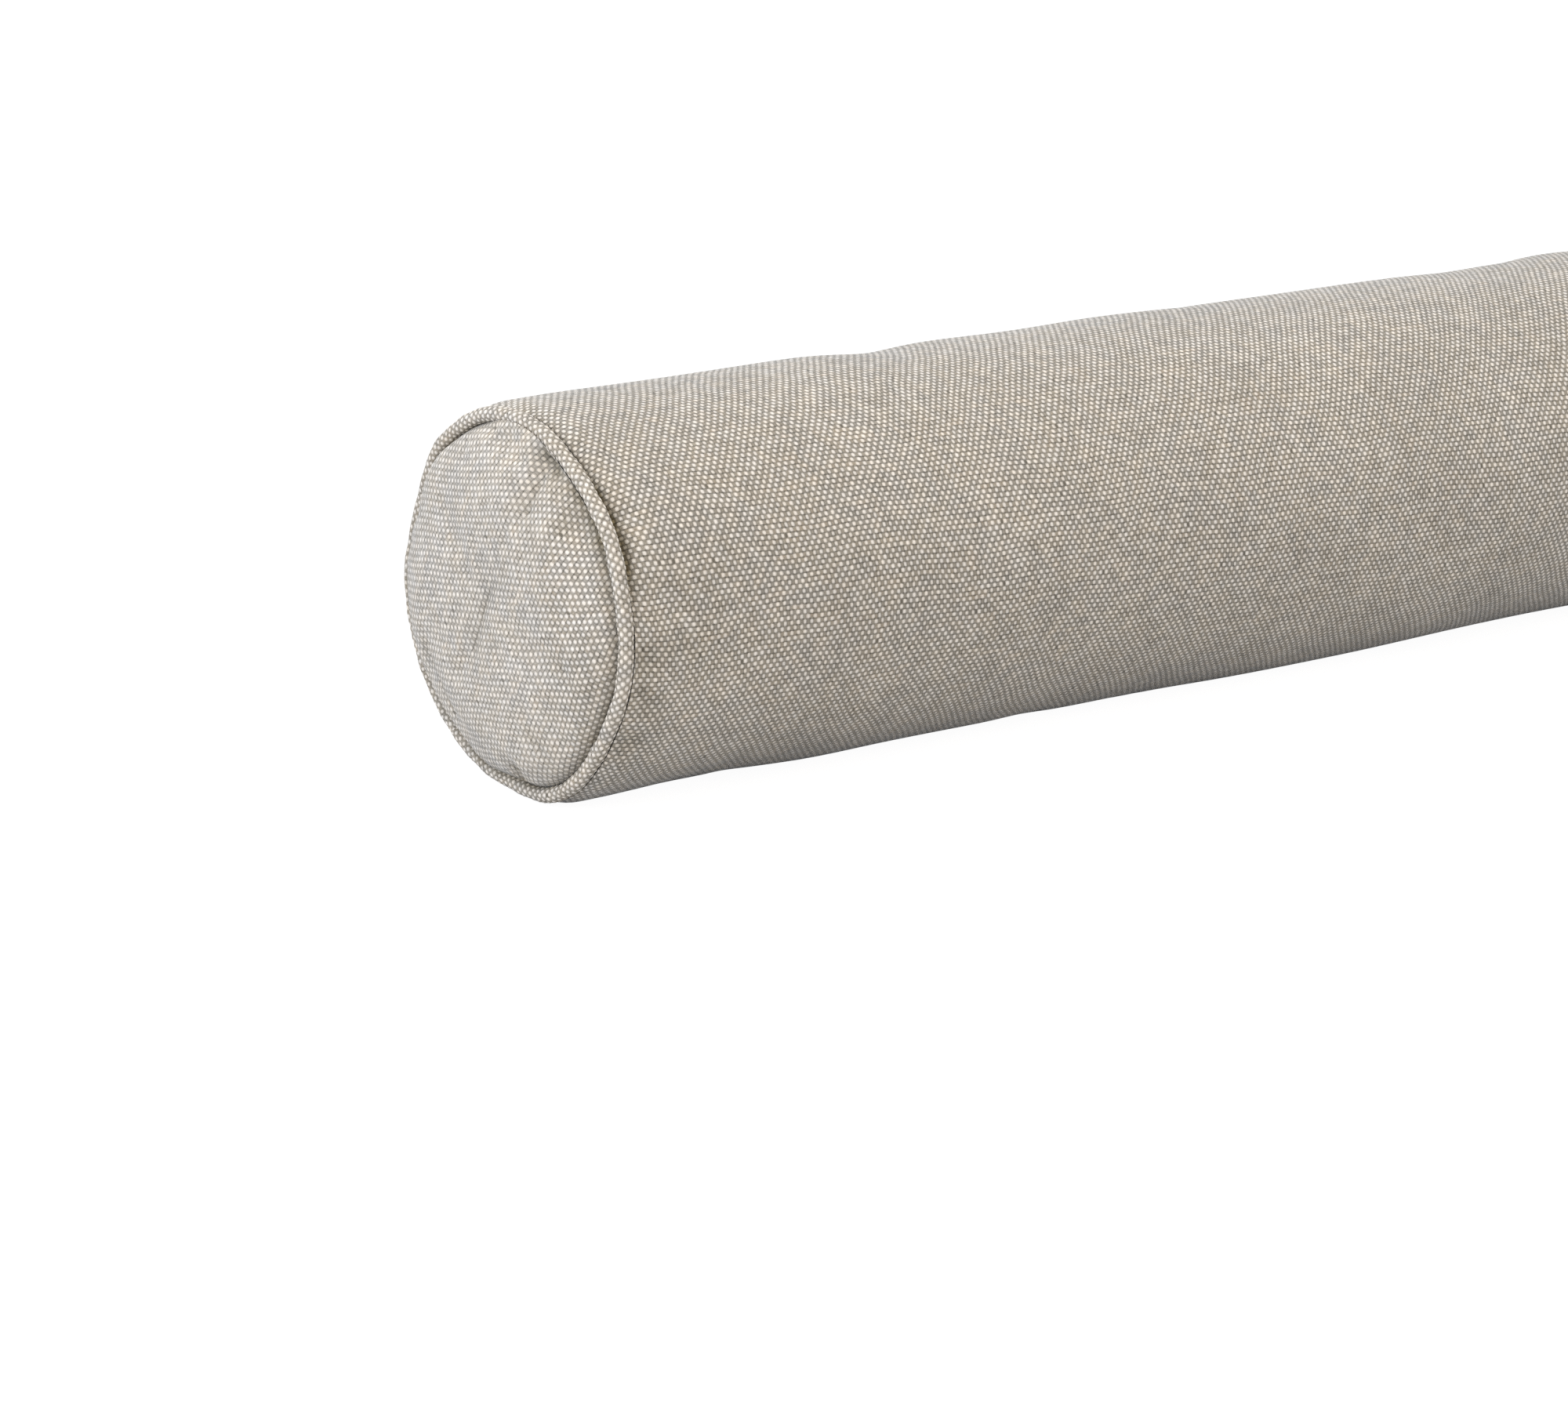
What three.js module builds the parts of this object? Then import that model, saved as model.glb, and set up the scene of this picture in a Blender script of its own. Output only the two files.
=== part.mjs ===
// A filled round bolster in a woven cover: one long panel sewn into a tube, a round panel in each end,
// and a cord of the same cloth sewn into each end seam. It lies on its side.
// Millimetres. +X runs along the bolster from the near end to the far end, and +Z is up.
// The origin is on the surface that the bolster rests on, under its middle.
// Angles go round the tube: 0 at the back (+Y), 90 on top, 180 at the front (-Y), 270 underneath.
import * as THREE from "three";

// Driving dimensions
const SEAM_SPAN = 886;
const TUBE_RADIUS = 76;
const PIPING_RADIUS = 3;
const CROWN = 13;
const FLAT_SINK = 3;
const FLAT_BLEND = 1;
const GAP = 0.3;

// How the tube draws in towards an end seam, and the length of its rounded shoulder there
const DRAW_IN = 1.6;
const DRAW_IN_REACH = 16;
const SHOULDER = 9;

// How squarely an end panel's crown turns down to its seam, and how late its folds fade out there
const CROWN_POWER = 4;
const FOLD_FADE_POWER = 16;

const COLUMNS = 64;
const PIPING_SIDES = 8;
const TURN = 2 * Math.PI;
const AXIS_HEIGHT = TUBE_RADIUS - FLAT_SINK;
const SEAT = PIPING_RADIUS + GAP;
const LOWEST_SEAM = AXIS_HEIGHT - PIPING_RADIUS - GAP;
const PLAIN_SEAM_RADIUS = 71.2;

// The near end's seam, which is pulled in where the cloth puckers. set_back is towards the middle.
const NEAR_SEAM = [
  { angle: 0, radius: 70.4, set_back: 0 },
  { angle: 15, radius: 69.3, set_back: 1 },
  { angle: 30, radius: 69.5, set_back: 1.2 },
  { angle: 45, radius: 71.2, set_back: 0.3 },
  { angle: 60, radius: 70.9, set_back: 0 },
  { angle: 75, radius: 71.5, set_back: 0 },
  { angle: 90, radius: 71.3, set_back: 0 },
  { angle: 105, radius: 71.3, set_back: 0 },
  { angle: 120, radius: 69.9, set_back: 0.4 },
  { angle: 135, radius: 70.7, set_back: 0 },
  { angle: 150, radius: 71.9, set_back: 0 },
  { angle: 165, radius: 71.2, set_back: 0 },
  { angle: 180, radius: 71.6, set_back: 0 },
  { angle: 195, radius: 71.4, set_back: 0 },
  { angle: 210, radius: 70.0, set_back: 0 },
  { angle: 225, radius: 70.3, set_back: 0 },
  { angle: 240, radius: 71.6, set_back: 0 },
  { angle: 255, radius: 71.4, set_back: 0 },
  { angle: 270, radius: 68.6, set_back: 0 },
  { angle: 285, radius: 68.5, set_back: 0 },
  { angle: 300, radius: 68.7, set_back: 0 },
  { angle: 315, radius: 69.1, set_back: 0 },
  { angle: 330, radius: 70.0, set_back: 0 },
  { angle: 345, radius: 70.4, set_back: 0 },
];

// Soft ridges and troughs of the near end panel. back and up are measured from the tube's axis, turn is
// the ridge's direction in degrees from straight back, and long and wide are its half sizes.
const NEAR_FOLDS = [
  { name: "front shoulder", back: -43, up: 3, long: 36, wide: 13, turn: 95, height: 2.3 },
  { name: "ridge beside the pocket", back: -38, up: 34, long: 12, wide: 7, turn: 95, height: 1.7 },
  { name: "top pocket", back: -47, up: 47, long: 13, wide: 7, turn: 50, height: -5 },
  { name: "long crease", back: 0, up: 10, long: 36, wide: 8, turn: 125, height: -2 },
  { name: "lower end of the crease", back: 18, up: -26, long: 14, wide: 9, turn: 100, height: -1.2 },
  { name: "upper ridge", back: 18, up: 18, long: 14, wide: 8, turn: 120, height: 1.3 },
  { name: "back crease", back: 36, up: 32, long: 18, wide: 8, turn: 140, height: -1.2 },
  { name: "back shoulder", back: 52, up: -26, long: 22, wide: 9, turn: 110, height: 1.4 },
  { name: "upper back shoulder", back: 47, up: 47, long: 20, wide: 8, turn: 135, height: 2 },
  { name: "droop at the bottom", back: -16, up: -50, long: 24, wide: 12, turn: 165, height: -2 },
  { name: "dent under the top seam", back: -22, up: 61, long: 10, wide: 7, turn: 20, height: -1.6 },
];

// The far end panel is finished plainly, with two faint folds.
const FAR_FOLDS = [
  { name: "soft fold", back: -14, up: 12, long: 30, wide: 10, turn: 70, height: -1 },
  { name: "soft ridge", back: 22, up: -10, long: 26, wide: 12, turn: 100, height: 0.8 },
];

// Lumps and dents of the filling along the tube. along is measured from the near seam, angle goes round
// the tube, long is a half length in millimetres and wide a half width in degrees.
const LUMPS = [
  { along: 5, angle: 186, long: 5, wide: 5, height: -1.1 },
  { along: 7, angle: 213, long: 6, wide: 6, height: -1 },
  { along: 60, angle: 72, long: 40, wide: 40, height: -0.4 },
  { along: 114, angle: 245, long: 30, wide: 30, height: 0.7 },
  { along: 176, angle: 75, long: 22, wide: 34, height: -2.2 },
  { along: 223, angle: 245, long: 14, wide: 24, height: -0.6 },
  { along: 290, angle: 80, long: 32, wide: 38, height: 0.8 },
  { along: 330, angle: 240, long: 40, wide: 32, height: 0.9 },
  { along: 420, angle: 160, long: 46, wide: 40, height: 0.5 },
  { along: 489, angle: 72, long: 20, wide: 30, height: -0.7 },
  { along: 525, angle: 240, long: 60, wide: 34, height: -1.4 },
  { along: 546, angle: 75, long: 16, wide: 30, height: 0.9 },
  { along: 640, angle: 120, long: 40, wide: 44, height: -0.7 },
  { along: 655, angle: 10, long: 50, wide: 40, height: 0.6 },
  { along: 742, angle: 190, long: 38, wide: 36, height: 0.7 },
  { along: 800, angle: 60, long: 30, wide: 34, height: -0.8 },
];

// Long slow waves that keep the tube from being a perfect cylinder
const WAVES = [
  { length: 212, around: 2, phase: 0.4, height: 0.28 },
  { length: 137, around: 3, phase: 2.1, height: 0.2 },
  { length: 389, around: 1, phase: 4.0, height: 0.25 },
];

const cloth = {
  color: new THREE.Color("#b9b1a4"),
  roughness: 0.95,
  metalness: 0,
};

// Soft lower bound: value where it is well above limit, limit itself where it is well below.
function keepAbove(value, limit, blend) {
  const over = value - limit;
  if (over >= blend) return value;
  if (over <= -blend) return limit;
  return limit + (over + blend) ** 2 / (4 * blend);
}

// A smooth periodic curve through a table's values at equal steps of angle
function roundTable(table, column, angle) {
  const place = ((((angle / TURN) % 1) + 1) % 1) * table.length;
  const step = Math.floor(place);
  const t = place - step;
  const value = (k) => table[(step + k + table.length) % table.length][column];
  const [a, b, c, d] = [value(-1), value(0), value(1), value(2)];
  return b + 0.5 * t * (c - a + t * (2 * a - 5 * b + 4 * c - d + t * (3 * (b - c) + d - a)));
}

// The seam's radius at an angle, kept high enough for its cord to clear the surface underneath
function seamRadius(end, angle) {
  const round = end.seam ? roundTable(end.seam, "radius", angle) : PLAIN_SEAM_RADIUS;
  const drop = Math.max(-Math.sin(angle), 0.1);
  return -keepAbove(-round, -LOWEST_SEAM / drop, FLAT_BLEND);
}

function seamSetBack(end, angle) {
  return end.seam ? roundTable(end.seam, "set_back", angle) : 0;
}

function bell(...parts) {
  return Math.exp(-parts.reduce((sum, part) => sum + part * part, 0));
}

// The tube's radius where its cloth lies, before the surface underneath flattens it
function tubeRadius(along, angle) {
  let radius = TUBE_RADIUS;
  radius -= DRAW_IN * Math.exp(-along / DRAW_IN_REACH);
  radius -= DRAW_IN * Math.exp(-(SEAM_SPAN - along) / DRAW_IN_REACH);
  for (const wave of WAVES) {
    const turn = (TURN * along) / wave.length + wave.around * angle + wave.phase;
    radius += wave.height * Math.sin(turn);
  }
  for (const lump of LUMPS) {
    const away = THREE.MathUtils.radToDeg(angle) - lump.angle;
    const around = THREE.MathUtils.euclideanModulo(away + 180, 360) - 180;
    radius += lump.height * bell((along - lump.along) / lump.long, around / lump.wide);
  }
  return radius;
}

// A point at a radius and an angle about the tube's axis
function axisPoint(x, radius, angle) {
  const up = keepAbove(radius * Math.sin(angle), -AXIS_HEIGHT, FLAT_BLEND);
  return new THREE.Vector3(x, radius * Math.cos(angle), AXIS_HEIGHT + up);
}

function ring(pointAt) {
  return Array.from({ length: COLUMNS }, (_, column) => pointAt((TURN * column) / COLUMNS));
}

function meshGeometry(points, faces) {
  const geometry = new THREE.BufferGeometry();
  geometry.setFromPoints(points);
  geometry.setIndex(faces);
  geometry.computeVertexNormals();
  return geometry;
}

// A closed skin over rings of points that follow each other along +X, with one point at either end
function skin(first, rings, last) {
  const points = [first, ...rings.flat(), last];
  const at = (row, column) => 1 + row * COLUMNS + (column % COLUMNS);
  const faces = [];
  for (let column = 0; column < COLUMNS; column++) {
    faces.push(0, at(0, column + 1), at(0, column));
    for (let row = 0; row + 1 < rings.length; row++) {
      faces.push(at(row, column), at(row, column + 1), at(row + 1, column));
      faces.push(at(row, column + 1), at(row + 1, column + 1), at(row + 1, column));
    }
    const end = rings.length - 1;
    faces.push(points.length - 1, at(end, column), at(end, column + 1));
  }
  return meshGeometry(points, faces);
}

// One end of the tube from its seam inwards: the seat round the cord, then the rounded shoulder
function tubeEnd(end) {
  const seat = [0, 35, 65].map((turn) => {
    const bend = THREE.MathUtils.degToRad(turn);
    const depth = Math.max(SEAT * Math.sin(bend), GAP / 2);
    return ring((angle) => {
      const radius = seamRadius(end, angle) - SEAT * Math.cos(bend);
      return axisPoint(end.side * (SEAM_SPAN / 2 - depth - seamSetBack(end, angle)), radius, angle);
    });
  });
  const shoulder = [0, 0.04, 0.14, 0.32, 0.58, 1, 1.7, 2.8, 4.4, 6.5].map((share) => {
    const inwards = SEAT + share * SHOULDER;
    const rise = Math.sqrt(1 - (1 - Math.min(share, 1)) ** 2);
    return ring((angle) => {
      const set_back = seamSetBack(end, angle) * Math.exp(-share);
      const along = end.side < 0 ? inwards : SEAM_SPAN - inwards;
      const full = tubeRadius(along, angle);
      const radius = THREE.MathUtils.lerp(seamRadius(end, angle), full, rise);
      return axisPoint(end.side * (SEAM_SPAN / 2 - inwards - set_back), radius, angle);
    });
  });
  return [...seat, ...shoulder];
}

function tubePanel(near, far) {
  const reach = SEAT + 6.5 * SHOULDER;
  const middleRings = 31;
  const middle = Array.from({ length: middleRings }, (_, row) => {
    const along = THREE.MathUtils.lerp(reach, SEAM_SPAN - reach, (row + 1) / (middleRings + 1));
    return ring((angle) => axisPoint(along - SEAM_SPAN / 2, tubeRadius(along, angle), angle));
  });
  const capX = SEAM_SPAN / 2 - GAP / 2;
  return skin(
    new THREE.Vector3(-capX, 0, AXIS_HEIGHT),
    [...tubeEnd(near), ...middle, ...tubeEnd(far).reverse()],
    new THREE.Vector3(capX, 0, AXIS_HEIGHT),
  );
}

function foldHeight(folds, back, up) {
  return folds.reduce((sum, fold) => {
    const turn = THREE.MathUtils.degToRad(fold.turn);
    const lengthwise = (back - fold.back) * Math.cos(turn) + (up - fold.up) * Math.sin(turn);
    const across = (up - fold.up) * Math.cos(turn) - (back - fold.back) * Math.sin(turn);
    return sum + fold.height * bell(lengthwise / fold.long, across / fold.wide);
  }, 0);
}

// How far an end panel stands out from its seam at a share of the way from its centre to its edge
function crownHeight(end, share, angle) {
  const edge = SEAT * Math.SQRT1_2;
  const radius = share * (seamRadius(end, angle) - edge);
  const folds = foldHeight(end.folds, radius * Math.cos(angle), radius * Math.sin(angle));
  const dome = (CROWN - edge) * (1 - share ** CROWN_POWER);
  return edge + dome + folds * (1 - share ** FOLD_FADE_POWER);
}

function endPanel(end) {
  const edge = SEAT * Math.SQRT1_2;
  const crownRings = [0.14, 0.28, 0.41, 0.53, 0.64, 0.73, 0.81, 0.875, 0.925, 0.965, 1].map((share) =>
    ring((angle) => {
      const out = crownHeight(end, share, angle) - share ** FOLD_FADE_POWER * seamSetBack(end, angle);
      const radius = share * (seamRadius(end, angle) - edge);
      return axisPoint(end.side * (SEAM_SPAN / 2 + out), radius, angle);
    }),
  );
  const seamRing = ring((angle) => {
    const out = GAP / 2 - seamSetBack(end, angle);
    return axisPoint(end.side * (SEAM_SPAN / 2 + out), seamRadius(end, angle) - SEAT, angle);
  });
  const top = new THREE.Vector3(end.side * (SEAM_SPAN / 2 + crownHeight(end, 0, 0)), 0, AXIS_HEIGHT);
  const back = new THREE.Vector3(end.side * (SEAM_SPAN / 2 + GAP / 2), 0, AXIS_HEIGHT);
  const rings = [...crownRings, seamRing];
  return end.side < 0 ? skin(top, rings, back) : skin(back, rings.reverse(), top);
}

function pipingRing(end) {
  const points = [];
  const faces = [];
  const at = (column, side) => (column % COLUMNS) * PIPING_SIDES + (side % PIPING_SIDES);
  for (let column = 0; column < COLUMNS; column++) {
    const angle = (TURN * column) / COLUMNS;
    const middle = end.side * (SEAM_SPAN / 2 - seamSetBack(end, angle));
    for (let side = 0; side < PIPING_SIDES; side++) {
      const roll = (TURN * side) / PIPING_SIDES;
      const radius = seamRadius(end, angle) + PIPING_RADIUS * Math.cos(roll);
      points.push(axisPoint(middle + PIPING_RADIUS * Math.sin(roll), radius, angle));
      faces.push(at(column, side), at(column + 1, side), at(column, side + 1));
      faces.push(at(column + 1, side), at(column + 1, side + 1), at(column, side + 1));
    }
  }
  return meshGeometry(points, faces);
}

function piece(name, geometry) {
  const mesh = new THREE.Mesh(geometry, new THREE.MeshStandardMaterial(cloth));
  mesh.name = name;
  return mesh;
}

const near = { side: -1, seam: NEAR_SEAM, folds: NEAR_FOLDS };
const far = { side: 1, seam: null, folds: FAR_FOLDS };

const group = new THREE.Group();
group.add(piece("tube_panel", tubePanel(near, far)));
group.add(piece("near_end_panel", endPanel(near)));
group.add(piece("near_piping", pipingRing(near)));
group.add(piece("far_end_panel", endPanel(far)));
group.add(piece("far_piping", pipingRing(far)));

export default group;
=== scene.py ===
import math
from collections import namedtuple

import bpy
import numpy as np
from mathutils import Matrix, Vector


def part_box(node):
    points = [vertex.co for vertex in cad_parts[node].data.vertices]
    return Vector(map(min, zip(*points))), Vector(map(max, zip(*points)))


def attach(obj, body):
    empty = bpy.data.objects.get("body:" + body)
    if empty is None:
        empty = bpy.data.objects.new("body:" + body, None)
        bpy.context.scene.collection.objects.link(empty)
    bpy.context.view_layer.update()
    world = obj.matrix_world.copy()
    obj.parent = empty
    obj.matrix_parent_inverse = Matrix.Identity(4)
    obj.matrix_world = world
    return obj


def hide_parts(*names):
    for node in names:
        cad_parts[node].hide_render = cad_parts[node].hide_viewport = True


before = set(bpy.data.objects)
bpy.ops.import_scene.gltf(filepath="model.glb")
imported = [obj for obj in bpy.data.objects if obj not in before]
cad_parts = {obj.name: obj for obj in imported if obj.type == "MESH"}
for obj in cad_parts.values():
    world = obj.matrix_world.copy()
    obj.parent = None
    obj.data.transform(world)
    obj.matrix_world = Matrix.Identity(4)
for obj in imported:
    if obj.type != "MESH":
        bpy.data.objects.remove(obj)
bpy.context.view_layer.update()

bl_info = {
    "name": "Piped Bolster",
    "version": (1, 0, 0),
    "blender": (4, 5, 0),
    "location": "3D View > Sidebar > Bolster",
    "description": "Dresses a packed round bolster: woven tube, crowned end panels and piped end seams",
    "category": "Object",
}

# Metres. +X runs along the bolster from the near end to the far end, and +Z is up.
# Angles go round the tube: 0 at the back (+Y), 90 on top, 180 at the front (-Y), 270 underneath.

# Sizes that the frame settles
FAR_PIPING_LOW, FAR_PIPING_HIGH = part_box("far_piping")
SEAM_SPAN = FAR_PIPING_LOW.x + FAR_PIPING_HIGH.x
PIPING_RADIUS = (FAR_PIPING_HIGH.x - FAR_PIPING_LOW.x) / 2
TUBE_RADIUS = 0.076
AXIS_HEIGHT = 0.073
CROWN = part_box("far_end_panel")[1].x - SEAM_SPAN / 2

GAP = 0.0003
SEAT = PIPING_RADIUS + GAP
LOWEST_SEAM = AXIS_HEIGHT - PIPING_RADIUS - GAP
CORD_RING_RADIUS = 0.0712
FLAT_BLEND = 0.001
TURN = 2 * math.pi

# How the tube draws in towards an end seam, and the length of its rounded shoulder there
DRAW_IN = 0.0016
DRAW_IN_REACH = 0.016
SHOULDER = 0.009
# How far in the fine rings of an end go, in lengths of the shoulder
SHOULDER_RINGS_REACH = 6.5

# How squarely an end panel's crown turns down to its seam, and how late its folds and creases fade there
CROWN_POWER = 4
FOLD_FADE_POWER = 16
CREASE_FADE_POWER = 90

# Depths under the tube's full surface between which a seam's crevice is painted dark, and the width of the
# faint painted shade beside it
CREVICE_SHALLOW = 0.0016
CREVICE_DEEP = 0.0042
CREVICE_REACH = 0.006
CREVICE_FAINT = 0.4
# How far round the cord the painted shade of a crevice reaches
CORD_SHADE = math.radians(34)

# Where, counted back from the axis, an end panel's cloth starts to be pulled tight, and where it fully is
PULL_START = -0.058
PULL_FULL = -0.022

# Small puckers that the stitches draw along a seam, how far from it they fade, and the share of an end
# panel's way in over which they rise from its seam. times is how often a ripple repeats round the seam.
Ripple = namedtuple("Ripple", "times phase height")
PUCKERS = [Ripple(47, 0.4, 0.00014), Ripple(29, 2.0, 0.000084), Ripple(18, 4.1, 0.000098)]
PUCKER_REACH = 0.006
PANEL_PUCKER_RISE = 0.015

# A seam at an angle round the tube. The cord is pulled in where the cloth puckers, and set_back is towards
# the middle. tube and panel are the bends, in degrees round the cord, at which the cloth on either side
# leaves the cord, valley is the flat strip beside it on the tube's side, and roll is the width in which the
# panel turns down to it. tube_dark and panel_dark say how much shade is painted into the crevice on either
# side.
Seam = namedtuple("Seam", "angle radius set_back tube valley tube_dark panel roll panel_dark")
NEAR_SEAM = [
    Seam(0, 0.0704, 0, 125, 0, 0.2, 55, 0.002, 0.4),
    Seam(15, 0.0693, 0.001, 125, 0, 0.2, 55, 0.002, 0.3),
    Seam(30, 0.0695, 0.0012, 125, 0, 0.2, 26, 0.0016, 0.4),
    Seam(45, 0.0712, 0.0003, 125, 0, 0.2, 16, 0.0014, 0.5),
    Seam(60, 0.0709, 0, 122, 0, 0.2, 12, 0.0014, 0.55),
    Seam(75, 0.0715, 0, 122, 0, 0.1, 14, 0.0014, 0.5),
    Seam(90, 0.0713, 0, 124, 0, 0.1, 74, 0.0026, 0),
    Seam(105, 0.0713, 0, 118, 0, 0.3, 78, 0.003, 0),
    Seam(120, 0.0699, 0.0004, 110, 0, 0.6, 60, 0.003, 0.15),
    Seam(135, 0.0707, 0, 88, 0.0008, 1, 36, 0.0034, 0.6),
    Seam(150, 0.0719, 0, 52, 0.0032, 1, 24, 0.0032, 0.75),
    Seam(165, 0.0712, 0, 90, 0.0012, 0.7, 28, 0.0028, 0.4),
    Seam(180, 0.0719, 0, 132, 0, 0.3, 24, 0.0013, 0.5),
    Seam(195, 0.0717, 0, 148, 0, 0.1, 20, 0.0012, 0.5),
    Seam(210, 0.0701, 0, 150, 0, 0.1, 16, 0.0011, 0.5),
    Seam(225, 0.0703, 0, 150, 0, 0.1, 14, 0.0011, 0.45),
    Seam(240, 0.0716, 0, 148, 0, 0.1, 14, 0.0011, 0.45),
    Seam(255, 0.0714, 0, 140, 0, 0.1, 8, 0.0014, 0.8),
    Seam(270, 0.0686, 0, 128, 0, 0.3, 26, 0.002, 0.7),
    Seam(285, 0.0685, 0, 128, 0, 0.3, 46, 0.0022, 0.6),
    Seam(300, 0.0687, 0, 128, 0, 0.3, 14, 0.002, 0.8),
    Seam(315, 0.0691, 0, 125, 0, 0.2, 8, 0.0018, 0.9),
    Seam(330, 0.07, 0, 125, 0, 0.2, 10, 0.0018, 0.8),
    Seam(345, 0.0704, 0, 125, 0, 0.2, 40, 0.002, 0.5),
]
PLAIN_SEAM = [Seam(0, CORD_RING_RADIUS, 0, 110, 0.0004, 0.3, 25, 0.002, 0.4)] * 4

# Soft ridges and troughs of the near end panel. back and up are measured from the tube's axis, turn is
# the fold's direction in degrees from straight back, and long and wide are its half sizes.
Fold = namedtuple("Fold", "name back up long wide turn height")
NEAR_FOLDS = [
    Fold("front ridge", -0.041, 0.030, 0.026, 0.0085, 88, 0.0022),
    Fold("trough before it", -0.056, 0.030, 0.020, 0.006, 66, -0.0016),
    Fold("ridge behind crease", -0.014, 0.048, 0.020, 0.008, 118, 0.0012),
    Fold("middle swell", -0.016, 0.008, 0.030, 0.010, 110, 0.0010),
    Fold("back trough", 0.034, 0.032, 0.018, 0.008, 140, -0.0014),
    Fold("back shoulder", 0.052, -0.020, 0.022, 0.008, 110, 0.0014),
    Fold("upper back shoulder", 0.047, 0.045, 0.020, 0.009, 135, 0.0016),
    Fold("lower shoulder", -0.056, -0.020, 0.030, 0.009, 108, 0.0024),
    Fold("roll at the bottom", -0.024, -0.054, 0.028, 0.008, 160, 0.0018),
    Fold("low back trough", 0.030, -0.046, 0.024, 0.006, 40, -0.0014),
    Fold("dent under the top", -0.012, 0.060, 0.010, 0.006, 20, -0.0010),
]

# Sharp creases along lines of (back, up) places. wide is a half width, and dark is the shade painted into
# the crease.
Crease = namedtuple("Crease", "name line wide depth dark")
NEAR_CREASES = [
    Crease("pocket", [(-0.0265, 0.0635), (-0.0315, 0.0605)], 0.0030, 0.0018, 1.0),
    Crease("pocket mouth", [(-0.0285, 0.061), (-0.0345, 0.0565)], 0.0030, 0.0012, 0.75),
    Crease("crease, top", [(-0.028, 0.060), (-0.028, 0.052), (-0.0255, 0.041)], 0.0026, 0.0017, 0.32),
    Crease("crease, middle", [(-0.0255, 0.041), (-0.016, 0.032), (-0.010, 0.020)], 0.0030, 0.0006, 0.0),
    Crease("crease, bottom", [(-0.003, 0.008), (0.002, -0.002), (0.008, -0.016)], 0.0028, 0.0013, 0.24),
    Crease("spot by the ridge", [(-0.0455, 0.041), (-0.045, 0.037)], 0.0022, 0.0009, 0.30),
    Crease("left groove", [(0.046, -0.024), (0.036, -0.036), (0.030, -0.046)], 0.0024, 0.0011, 0.22),
    Crease("low tuck", [(-0.046, -0.012), (-0.051, -0.0175)], 0.0020, 0.0009, 0.12),
    Crease("bottom tuck", [(-0.007, -0.067), (-0.009, -0.060)], 0.0022, 0.0022, 0.7),
    Crease("tuck beside it", [(-0.030, -0.047), (-0.026, -0.042)], 0.0024, 0.0009, 0.25),
    Crease("small dent", [(-0.008, -0.012), (-0.004, -0.010)], 0.0026, 0.0007, 0.16),
]

# The far end panel is finished plainly, with a few faint folds.
FAR_FOLDS = [
    Fold("soft fold", -0.014, 0.012, 0.030, 0.010, 70, -0.0012),
    Fold("soft ridge", 0.022, -0.010, 0.026, 0.012, 100, 0.0010),
]
FAR_CREASES = [
    Crease("low tuck", [(0.016, -0.060), (0.022, -0.040)], 0.0030, 0.0012, 0.15),
    Crease("upper crease", [(-0.030, 0.050), (-0.018, 0.028)], 0.0030, 0.0010, 0.10),
]

# Lumps and dents of the filling along the tube. along is measured from the near seam, angle goes round
# the tube, long is a half length and wide a half width in degrees. dark is the shade painted into a dent.
Lump = namedtuple("Lump", "along angle long wide height dark", defaults=[0])
LUMPS = [
    Lump(0.006, 186, 0.005, 5, -0.0017, 0.30),
    Lump(0.020, 183, 0.016, 4, -0.0006, 0.22),
    Lump(0.006, 194, 0.003, 2, -0.0004, 0.45),
    Lump(0.009, 199, 0.006, 4, -0.0009, 0.22),
    Lump(0.007, 213, 0.007, 6, -0.0017, 0.34),
    Lump(0.012, 146, 0.012, 5, -0.0010),
    Lump(0.011, 128, 0.010, 4, -0.0008),
    Lump(0.014, 170, 0.010, 5, -0.0009),
    Lump(0.060, 72, 0.040, 40, -0.0004),
    Lump(0.114, 245, 0.030, 30, 0.0007),
    Lump(0.176, 75, 0.022, 34, -0.0022),
    Lump(0.223, 245, 0.014, 24, -0.0006),
    Lump(0.290, 80, 0.032, 38, 0.0008),
    Lump(0.330, 240, 0.040, 32, 0.0009),
    Lump(0.420, 160, 0.046, 40, 0.0005),
    Lump(0.489, 72, 0.020, 30, -0.0007),
    Lump(0.525, 240, 0.060, 34, -0.0014),
    Lump(0.546, 75, 0.016, 30, 0.0009),
    Lump(0.640, 120, 0.040, 44, -0.0007),
    Lump(0.655, 10, 0.050, 40, 0.0006),
    Lump(0.742, 190, 0.038, 36, 0.0007),
    Lump(0.800, 60, 0.030, 34, -0.0008),
]

# Long slow waves that keep the tube from being a perfect cylinder. length is how far along the tube a wave
# repeats, and around is how many times it does so round the tube.
Wave = namedtuple("Wave", "length around phase height")
WAVES = [
    Wave(0.212, 2, 0.4, 0.00028),
    Wave(0.137, 3, 2.1, 0.0002),
    Wave(0.389, 1, 4.0, 0.00025),
]

# How the yarns wander over the cloth. across and along are the lengths in which a wave repeats.
Drift = namedtuple("Drift", "across along phase shift")
YARN_DRIFT = [
    Drift(0.090, 0.140, 0.7, 0.00040),
    Drift(0.170, -0.070, 2.9, 0.00035),
    Drift(0.031, 0.052, 4.4, 0.00012),
    Drift(-0.044, 0.023, 1.3, 0.00010),
]

# The tube's cloth was cut slightly off the grain: its yarns drift by these shares of the way they run.
SKEW_ALONG = 0.0594
SKEW_AROUND = 0.023
# The near panel's yarns lie at this angle to straight back.
PANEL_GRAIN = math.radians(118)

# The lengthwise seam that closes the tube lies at the back, low down.
CLOSING_SEAM = math.radians(305)

# The groove that the closing seam draws in, and its half width in columns of the skin
CLOSING_GROOVE = 0.0007
CLOSING_GROOVE_COLUMNS = 0.8

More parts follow.
